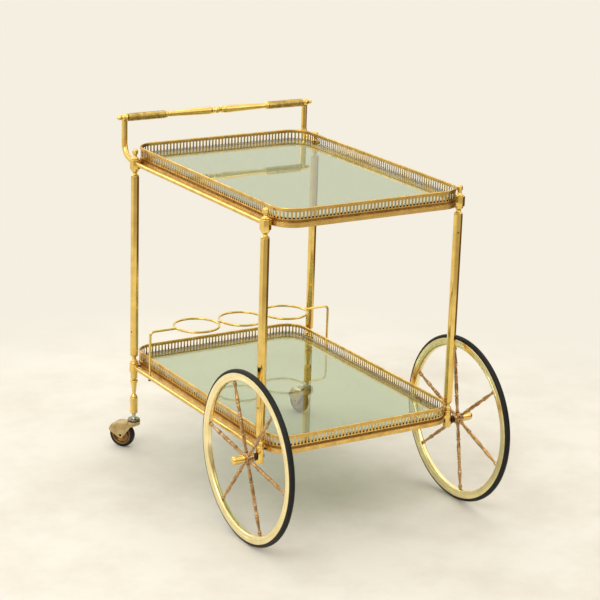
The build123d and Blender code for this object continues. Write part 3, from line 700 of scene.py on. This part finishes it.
rimSection = [(144.0, -2.6), *halfRim, *mirrored(halfRim)]
tyreSection = [*mirrored(halfTyre), (166.0, 0.0), *halfTyre, (156.5, -4.9)]
rimMaster = turned("rimMaster", rimSection, sides=144, ring=True, angle=30)
tyreMaster = turned("tyreMaster", tyreSection, sides=144, ring=True, angle=50)
hubMaster = turned("hubMaster", hubSection, sides=48)
capMaster = turned("capMaster", capSection, sides=48)
axleMaster = turned("axleMaster", axleSection, sides=48)
spokeMaster = turned("spokeMaster", spokeSection, sides=20)
for side, sign in sides.items():
    centre = Vector(jointAt[f"{side}_wheel_spin"]["pos_m"])
    outward = (sign, 0, 0)
    body = f"{side}_wheel"
    rim = place(copyOf(rimMaster, f"{side}Rim"), centre, outward)
    dress(rim, rimBrass, body, "wheel_brass", f"{side}_rim")
    tyre = place(copyOf(tyreMaster, f"{side}Tyre"), centre, outward)
    dress(tyre, tyreRubber, body, "rubber", f"{side}_tyre")
    hub = place(copyOf(hubMaster, f"{side}Hub"), centre, outward)
    dress(hub, spokeBrass, body, "wheel_brass", f"{side}_hub")
    cap = place(copyOf(capMaster, f"{side}HubCap"), centre, outward)
    dress(cap, polishedBrass, "frame", "wheel_brass", f"{side}_hub_cap")
    axle = place(copyOf(axleMaster, f"{side}Axle"), (0, centre.y, centre.z), outward)
    dress(axle, blackSteel, "frame", "dark_steel", f"{side}_axle")
    for number in range(wheel["spokes"]):
        angle = radians(wheel["firstSpoke"][side] + 360 / wheel["spokes"] * number)
        way = (0, sin(angle), cos(angle))
        spoke = place(copyOf(spokeMaster, f"{side}Spoke{number + 1}"), centre, way)
        dress(spoke, spokeBrass, body, "spoke_brass", f"{side}_spokes")
discard(rimMaster, tyreMaster, hubMaster, capMaster, axleMaster, spokeMaster)
print("large wheels done")

# Casters. The fixed upper cup is the wide lower end of the stem
cupTop = 66.5
stemSection = [(4.0, 61.6), (12.2, 61.6), (12.8, 62.2), (12.8, 64.2), (12.3, 65.4), (11.2, 66.1),
               (9.8, 66.4), (8.8, 65.8), (5.6, 65.6), (5.2, 66.4), (4.2, 67.2), (3.9, 68.0), (3.9, 79.0)]
discSection = [(2.8, -9.2), (6.0, -9.2), (6.0, -3.6), (6.8, -2.8), (9.0, -2.2), (9.6, -1.7), (12.0, -1.6),
               (12.8, -2.2), (14.6, -2.6), (16.0, -3.6), (17.2, -5.8), (18.0, -6.5), (20.6, -6.5),
               (20.6, 6.5), (18.0, 6.5), (17.2, 5.8), (16.0, 3.6), (14.6, 2.6), (12.8, 2.2), (12.0, 1.6),
               (9.6, 1.7), (9.0, 2.2), (6.8, 2.8), (6.0, 3.6), (6.0, 9.2), (2.8, 9.2), (2.8, -9.2)]
rollerTyre = [(20.5, -6.6), (21.0, -7.0), (23.4, -7.0), (25.0, -6.4), (26.2, -5.0), (26.8, -2.8),
              (27.0, 0.0), (26.8, 2.8), (26.2, 5.0), (25.0, 6.4), (23.4, 7.0), (21.0, 7.0), (20.5, 6.6),
              (20.5, -6.6)]
pinSection = [(0.3, -10.2), (1.4, -10.4), (1.6, -11.4), (2.0, -11.6), (2.6, -11.3), (2.7, -10.9),
              (2.7, 10.9), (2.6, 11.3), (2.0, 11.6), (1.6, 11.4), (1.4, 10.4), (0.3, 10.2)]
stemMaster = turned("stemMaster", stemSection, sides=40)
discMaster = turned("discMaster", discSection, sides=56, ring=True)
rollerMaster = turned("rollerMaster", rollerTyre, sides=56, ring=True, angle=50)
pinMaster = turned("pinMaster", pinSection, sides=24)
for side in sides:
    spot = middle(f"rear_{side}_post")
    stem = place(copyOf(stemMaster, f"{side}CasterStem"), (spot.x, spot.y, 0))
    dress(stem, zincPlate, "frame", "zinc", "caster_stems")
    stem.data.materials.append(cupPlate)
    for face in stem.data.polygons:
        if face.center.z < mm(cupTop):
            face.material_index = 1
    spin = jointAt[f"{side}_caster_spin"]
    across, spot = Vector(spin["axis"]), Vector(spin["pos_m"])
    disc = place(copyOf(discMaster, f"{side}CasterWheel"), spot, across)
    # the disc's darker plate is painted shade
    dress(disc, shadedDiscPlate, f"{side}_caster_roller", "antique_brass", f"{side}_caster_wheel")
    tyre = place(copyOf(rollerMaster, f"{side}CasterTyre"), spot, across)
    dress(tyre, tyreRubber, f"{side}_caster_roller", "rubber", f"{side}_caster_tyre")
    pin = place(copyOf(pinMaster, f"{side}CasterPin"), spot, across)
    dress(pin, blackSteel, f"{side}_caster_swivel", "antique_brass", f"{side}_caster_pin")
discard(stemMaster, discMaster, rollerMaster, pinMaster)
print("casters done")

# Studio in metres: a pale floor and wall, with a dim side on the right and behind the camera
studio = {"wall": "#F5EFE1", "floor": "#E2E0DB", "floorPatch": "#D2CEC6", "dim": "#6B5335", "floorSize": 60,
          "litRadius": 0.65, "clearRadius": 1.3, "farRadius": 2.6, "veins": 3.5}
# Brightness of the air from low to high, and how high a dim side reaches, as the sine of the height
sky = {"low": 0.92, "high": 1.35, "lowAt": 0.1, "highAt": 0.55, "dimTo": 0.3, "clearFrom": 0.7}
# The way that a dim side lies, in degrees from +X, and the cosines where it starts and is full
dimRight = {"way": -10, "start": 0.7, "full": 0.97, "depth": 1.0}
dimBehind = {"way": -95, "start": 0.2, "full": 0.85, "depth": 0.48}


def towards(tree, way, part):  # 0 away from a dim side of the studio, its depth towards it
    level = addNode(tree, "ShaderNodeVectorMath", {"operation": "NORMALIZE"}, i0=way)
    facing = addNode(tree, "ShaderNodeVectorMath", {"operation": "DOT_PRODUCT"}, i0=(level, "Vector"),
                     i1=(cos(radians(part["way"])), sin(radians(part["way"])), 0))
    return addNode(tree, "ShaderNodeMapRange", smooth, Value=(facing, "Value"), From_Min=part["start"],
                   From_Max=part["full"], To_Max=part["depth"])


def combined(tree, operation, first, second):
    return addNode(tree, "ShaderNodeMath", {"operation": operation}, i0=first, i1=second)


deselect()
bpy.ops.mesh.primitive_plane_add(size=studio["floorSize"], location=(0, 0, 0))
floor = bpy.context.object
floor.name = "floor"
floorMaterial, floorTree, floorShader, floorPlace = newMaterial("paleFloor")
away = addNode(floorTree, "ShaderNodeVectorMath", {"operation": "LENGTH"}, i0=floorPlace)
fade = addNode(floorTree, "ShaderNodeMapRange", smooth, Value=(away, "Value"),
               From_Min=studio["litRadius"], From_Max=studio["clearRadius"])
far = addNode(floorTree, "ShaderNodeMapRange", smooth, Value=(away, "Value"),
              From_Min=studio["clearRadius"], From_Max=studio["farRadius"])
veins = addNode(floorTree, "ShaderNodeTexNoise", Vector=floorPlace, Scale=studio["veins"], Detail=8.0,
                Roughness=0.65)
patches = addNode(floorTree, "ShaderNodeMapRange", Value=(veins, "Fac"), From_Min=0.42, From_Max=0.7)
stone = addNode(floorTree, "ShaderNodeMix", mixed, i0=(patches, "Result"),
                i6=hexColour(studio["floor"]), i7=hexColour(studio["floorPatch"]))
floorTree.links.new(stone.outputs[2], floorShader.inputs["Base Color"])
floorShader.inputs["Roughness"].default_value = 0.7
# Beyond litRadius the floor glows instead of being lit: seen by the camera it runs into the wall's colour,
# in reflections into the dim sides
rays = addNode(floorTree, "ShaderNodeLightPath")
floorBehind = towards(floorTree, floorPlace, dimBehind)
behind = combined(floorTree, "MULTIPLY", (floorBehind, "Result"), (far, "Result"))
floorRight = towards(floorTree, floorPlace, dimRight)
dim = combined(floorTree, "MAXIMUM", (floorRight, "Result"), (behind, "Value"))
beyond = addNode(floorTree, "ShaderNodeMix", mixed, i0=(dim, "Value"), i6=hexColour(studio["wall"]),
                 i7=hexColour(studio["dim"]))
shown = addNode(floorTree, "ShaderNodeMix", mixed, i0=(rays, "Is Camera Ray"), i6=(beyond, 2),
                i7=hexColour(studio["wall"]))
glowing = addNode(floorTree, "ShaderNodeEmission", Color=(shown, 2), Strength=1.0)
blend = addNode(floorTree, "ShaderNodeMixShader", i0=(fade, "Result"), i1=(floorShader, "BSDF"),
                i2=(glowing, "Emission"))
ending = [node for node in floorTree.nodes if node.bl_idname == "ShaderNodeOutputMaterial"][0]
floorTree.links.new(blend.outputs["Shader"], ending.inputs["Surface"])
floor.data.materials.append(floorMaterial)

# Lamps: large and soft, a little stronger from the left. Place, size and power
lamps = {"key": ((-2.6, -1.4, 2.8), 1.8, 30), "fill": ((2.4, -2.6, 2.4), 1.6, 8),
         "top": ((0.4, 1.2, 3.6), 2.2, 12), "rear": ((-1.0, 3.2, 2.1), 1.8, 16)}
lampAim = Vector((0, 0.05, 0.35))
for name, (spot, size, power) in lamps.items():
    lamp = bpy.data.objects.new(name, bpy.data.lights.new(name, "AREA"))
    lamp.data.size = size
    lamp.data.energy = power
    lamp.location = spot
    lamp.rotation_mode = "QUATERNION"
    lamp.rotation_quaternion = (Vector(spot) - lampAim).to_track_quat("Z", "Y")
    bpy.context.collection.objects.link(lamp)

# Air: the wall's colour, dim only for rays that don't come from the camera
world = bpy.data.worlds.new("studio")
bpy.context.scene.world = world
world.use_nodes = True
air = world.node_tree
air.nodes.clear()
direction = addNode(air, "ShaderNodeTexCoord")
upward = addNode(air, "ShaderNodeSeparateXYZ", i0=(direction, "Generated"))
lowAir = addNode(air, "ShaderNodeMapRange", smooth, Value=(upward, "Z"), From_Min=sky["dimTo"],
                 From_Max=sky["clearFrom"], To_Min=1.0, To_Max=0.0)
airBehind = towards(air, (direction, "Generated"), dimBehind)
airRight = towards(air, (direction, "Generated"), dimRight)
dimAir = combined(air, "MAXIMUM", (airBehind, "Result"), (airRight, "Result"))
lowDim = combined(air, "MULTIPLY", (dimAir, "Value"), (lowAir, "Result"))
seen = addNode(air, "ShaderNodeLightPath")
unseen = combined(air, "SUBTRACT", 1.0, (seen, "Is Camera Ray"))
shade = combined(air, "MULTIPLY", (lowDim, "Value"), (unseen, "Value"))
tone = addNode(air, "ShaderNodeMix", mixed, i0=(shade, "Value"), i6=hexColour(studio["wall"]),
               i7=hexColour(studio["dim"]))
overhead = addNode(air, "ShaderNodeMapRange", smooth, Value=(upward, "Z"), From_Min=sky["lowAt"],
                   From_Max=sky["highAt"], To_Min=sky["low"], To_Max=sky["high"])
strength = addNode(air, "ShaderNodeMix", {"data_type": "FLOAT"}, i0=(seen, "Is Camera Ray"),
                   i2=(overhead, "Result"), i3=1.0)
glow = addNode(air, "ShaderNodeBackground", Color=(tone, 2), Strength=(strength, "Result"))
addNode(air, "ShaderNodeOutputWorld", Surface=(glow, "Background"))
bpy.context.scene.view_settings.view_transform = "Standard"

print("pieces:", len(made))
